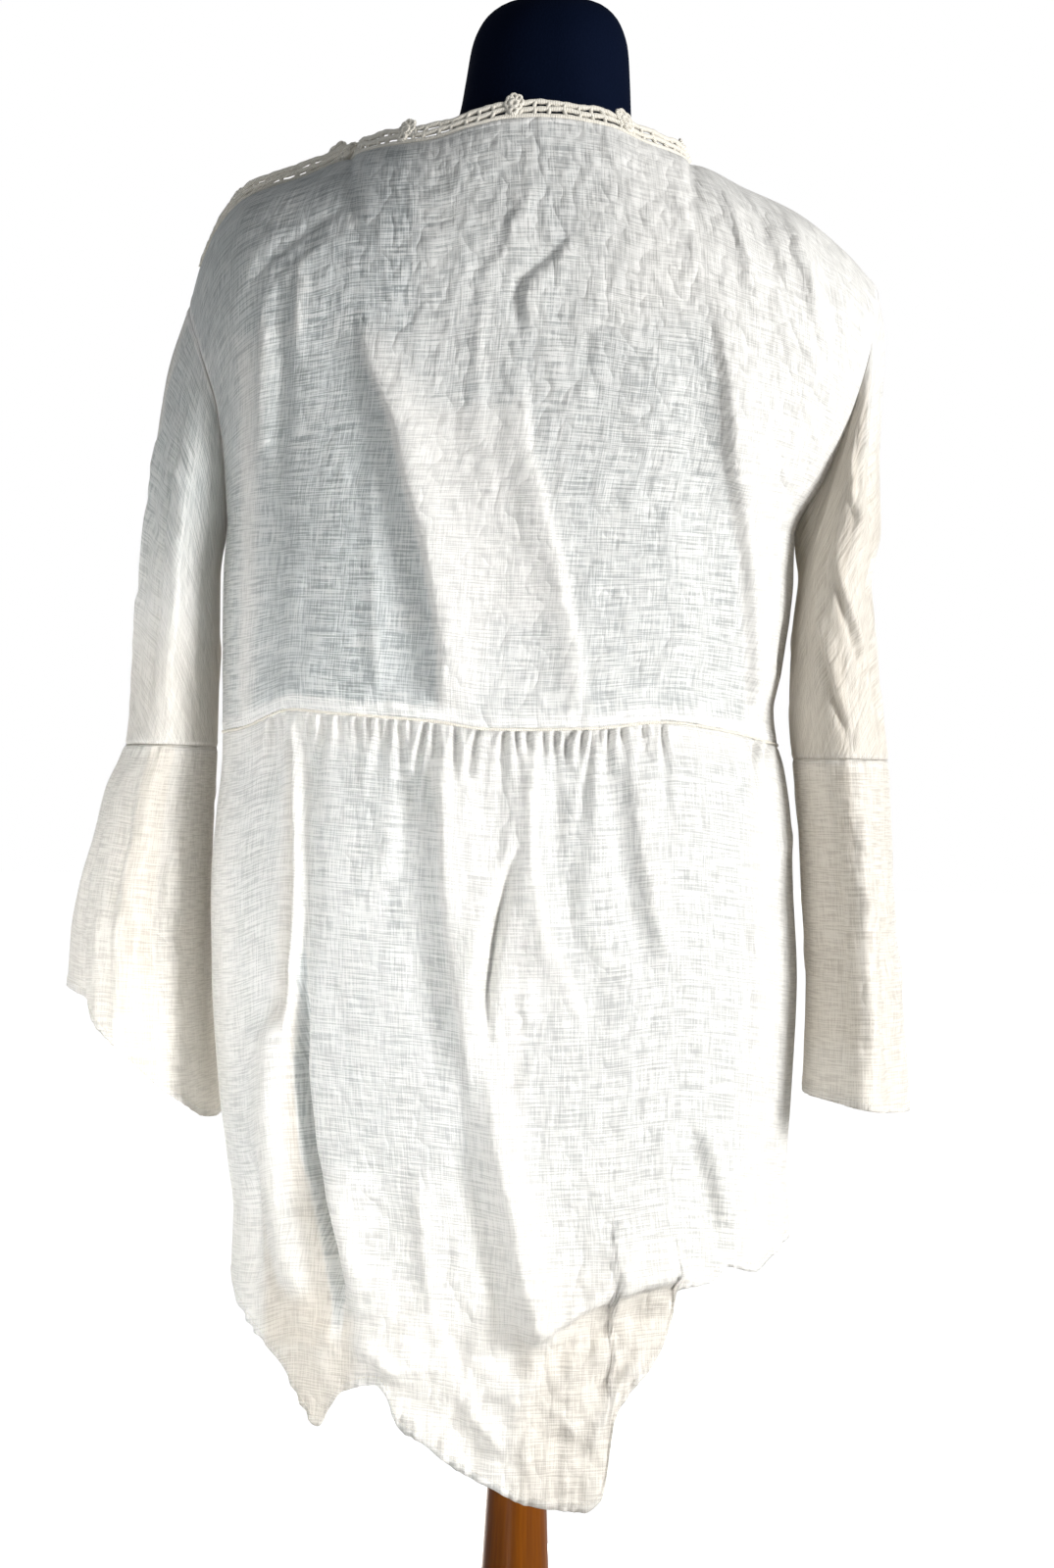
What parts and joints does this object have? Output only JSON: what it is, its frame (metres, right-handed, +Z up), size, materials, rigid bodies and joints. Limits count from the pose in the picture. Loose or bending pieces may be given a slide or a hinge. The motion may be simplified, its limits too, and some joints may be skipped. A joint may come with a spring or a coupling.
{
  "type": "linen blouse on a dress form",
  "caption": "Off-white linen tunic blouse with open-work neck lace, gathered pointed skirt and flounced sleeves, on a dark limbless dress form.",
  "frame": {"origin": "middle of the stand's underside, under its pole", "axes": "+Z up along the pole, the wearer faces -Y, the wearer's left is +X"},
  "size_m": [0.5936, 0.386, 1.527],
  "materials": {
    "linen": "plain woven, unevenly slubbed, semi-sheer",
    "lace": "corded cotton open-work",
    "jersey": "matt knitted cover",
    "wood": "stained and satin varnished"
  },
  "bodies": {
    "root": {"bodice_back": "linen", "bodice_front": "linen", "skirt_back": "linen", "skirt_front": "linen", "sleeve_left": "linen", "sleeve_right": "linen", "flounce_left": "linen", "flounce_right": "linen", "neck_lace": "lace", "form_torso": "jersey", "form_neck_knob": "wood", "form_pole": "wood", "form_base": "wood"}
  },
  "joints": []
}
